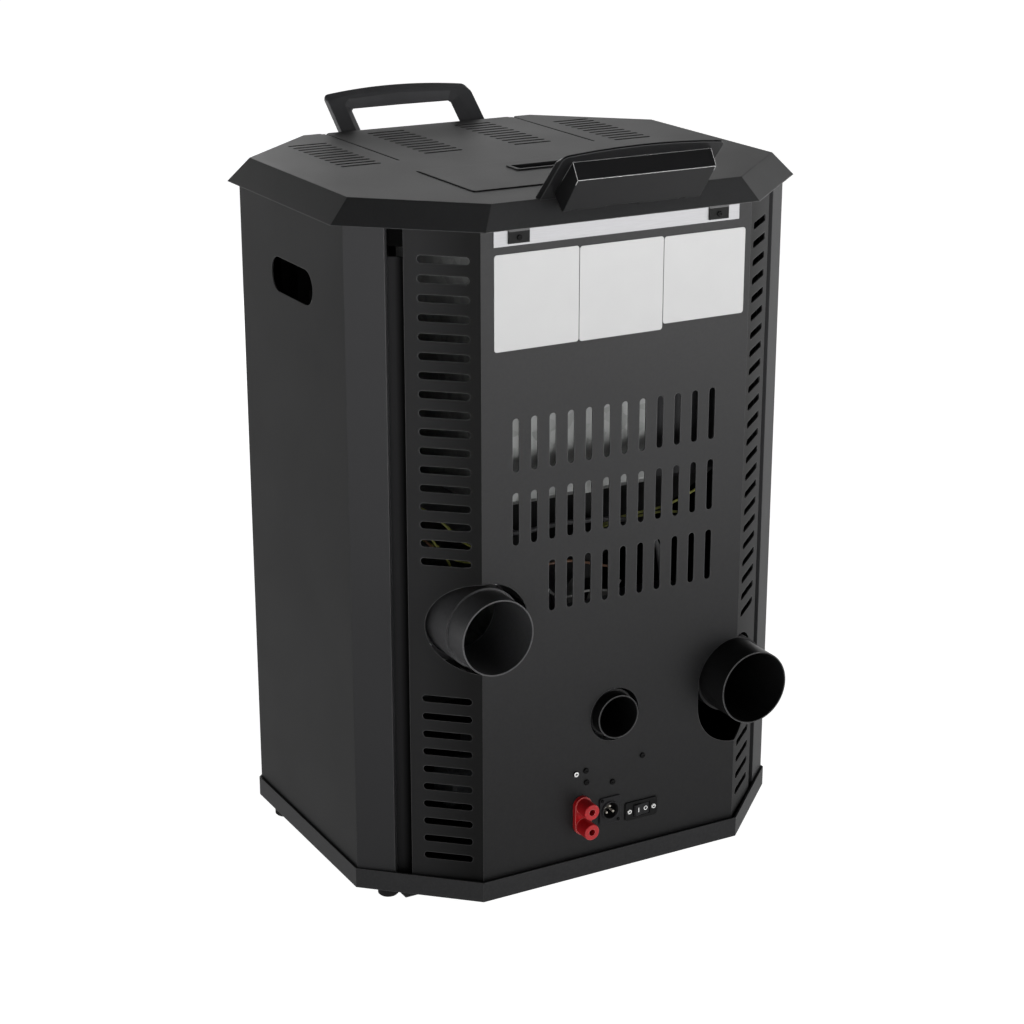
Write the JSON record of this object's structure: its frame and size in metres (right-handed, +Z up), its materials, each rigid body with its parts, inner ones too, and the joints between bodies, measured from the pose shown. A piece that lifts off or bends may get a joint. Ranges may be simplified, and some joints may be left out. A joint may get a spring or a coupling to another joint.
{
  "type": "pellet stove",
  "caption": "Free-standing pellet stove with an octagonal sheet-metal cabinet, overhanging hood, two leaning arches, a control panel, front fire door, ash drawer and rear pipe stubs.",
  "frame": {"origin": "on the floor, under the middle of the overall width and depth", "axes": "+Z up, +Y towards the rear with the pipes, -Y towards the fire door, +X to the side of the upper pipe"},
  "size_m": [0.538, 0.549, 0.7935],
  "materials": {
    "charcoal_steel": "satin",
    "black_plastic": "satin",
    "fascia_black": "gloss",
    "display_glass": "gloss",
    "button_grey": "satin",
    "label_white": "matte",
    "bright_steel": "brushed",
    "galvanised": "satin",
    "black_pipe": "satin",
    "rubber": "matte",
    "red_plastic": "gloss",
    "cast_iron": "matte",
    "ceramic_glass": "clear",
    "rope_seal": "woven",
    "board_green": "satin",
    "vermiculite": "matte",
    "motor_grey": "satin",
    "aluminium": "satin",
    "wire_sleeve": "satin"
  },
  "bodies": {
    "cabinet": {"air_intake_pipe": "black_pipe", "air_plenum": "galvanised", "auger_motor": "motor_grey", "auger_tube": "galvanised", "back_liner": "vermiculite", "baffle_plate": "vermiculite", "base_tray": "charcoal_steel", "control_board": "board_green", "control_fascia": "fascia_black", "control_housing": "black_plastic", "corner_posts": "charcoal_steel", "display_board": "board_green", "display_window": "display_glass", "door_hinges": "black_pipe", "extractor_housing": "motor_grey", "extractor_motor": "motor_grey", "fan_housing": "galvanised", "fan_motor": "motor_grey", "firebox": "cast_iron", "flue_pipe": "black_pipe", "front_handle": "black_plastic", "front_panel": "charcoal_steel", "hood": "charcoal_steel", "hopper": "galvanised", "hopper_grille": "galvanised", "hot_air_pipe": "black_pipe", "igniter": "black_plastic", "label_plates": "label_white", "lid_hinge": "bright_steel", "panel_screws": "bright_steel", "pellet_chute": "galvanised", "power_inlet": "black_plastic", "pressure_switch": "black_plastic", "rear_arch": "black_plastic", "rear_panel": "charcoal_steel", "red_socket": "red_plastic", "rubber_feet": "rubber", "side_panel_left": "charcoal_steel", "side_panel_right": "charcoal_steel", "silver_strip": "bright_steel", "smoke_collector": "galvanised", "switch_housing": "black_plastic", "top_plate": "charcoal_steel", "wiring_loom": "wire_sleeve"},
    "door": {"door_frame": "cast_iron", "door_seal": "rope_seal", "door_glass": "ceramic_glass", "glass_clips": "bright_steel"},
    "door_handle": {"door_handle": "bright_steel"},
    "hopper_lid": {"hopper_lid": "charcoal_steel"},
    "ash_drawer": {"ash_drawer": "charcoal_steel"},
    "burn_pot": {"burn_pot": "cast_iron"},
    "auger_screw": {"auger_screw": "bright_steel"},
    "extractor_impeller": {"extractor_impeller": "aluminium"},
    "fan_wheel": {"fan_wheel": "aluminium"},
    "switch_rocker": {"switch_rocker": "black_plastic"},
    "button_down": {"button_down": "button_grey"},
    "button_up": {"button_up": "button_grey"},
    "button_menu": {"button_menu": "button_grey"},
    "button_power": {"button_power": "button_grey"}
  },
  "joints": [
    {"name": "hopper_lid_hinge", "type": "hinge", "parent": "cabinet", "child": "hopper_lid", "pos_m": [0, 0.16511, 0.7415], "axis": [-1, 0, 0], "range_deg": [0, 100]},
    {"name": "door_hinge", "type": "hinge", "parent": "cabinet", "child": "door", "pos_m": [-0.158, -0.21939, 0.415], "axis": [0, 0, -1], "range_deg": [0, 110]},
    {"name": "door_handle_turn", "type": "hinge", "parent": "door", "child": "door_handle", "pos_m": [0.127, -0.21939, 0.43], "axis": [0, -1, 0], "range_deg": [0, 90]},
    {"name": "ash_drawer_slide", "type": "slide", "parent": "cabinet", "child": "ash_drawer", "axis": [0, -1, 0], "range_m": [0, 0.15]},
    {"name": "burn_pot_lift", "type": "slide", "parent": "cabinet", "child": "burn_pot", "axis": [0, 0, 1], "range_m": [0, 0.045]},
    {"name": "auger_spin", "type": "hinge", "parent": "cabinet", "child": "auger_screw", "pos_m": [0, 0.15811, 0.285], "axis": [0, -0.6157, 0.788], "continuous": true},
    {"name": "extractor_spin", "type": "hinge", "parent": "cabinet", "child": "extractor_impeller", "pos_m": [-0.1512, 0.04311, 0.172], "axis": [1, 0, 0], "continuous": true},
    {"name": "room_fan_spin", "type": "hinge", "parent": "cabinet", "child": "fan_wheel", "pos_m": [0, 0.10311, 0.088], "axis": [1, 0, 0], "continuous": true},
    {"name": "mains_rocker_tilt", "type": "hinge", "parent": "cabinet", "child": "switch_rocker", "pos_m": [-0.0365, 0.22261, 0.07], "axis": [0, 0, -1], "range_deg": [0, 14]},
    {"name": "button_down_press", "type": "slide", "parent": "cabinet", "child": "button_down", "axis": [0, 0.723, -0.6909], "range_m": [0, 0.0015], "stiffness_N_per_m": 400, "springref_m": -0.001},
    {"name": "button_up_press", "type": "slide", "parent": "cabinet", "child": "button_up", "axis": [0, 0.723, -0.6909], "range_m": [0, 0.0015], "stiffness_N_per_m": 400, "springref_m": -0.001},
    {"name": "button_menu_press", "type": "slide", "parent": "cabinet", "child": "button_menu", "axis": [0, 0.723, -0.6909], "range_m": [0, 0.0015], "stiffness_N_per_m": 400, "springref_m": -0.001},
    {"name": "button_power_press", "type": "slide", "parent": "cabinet", "child": "button_power", "axis": [0, 0.723, -0.6909], "range_m": [0, 0.0015], "stiffness_N_per_m": 400, "springref_m": -0.001}
  ]
}
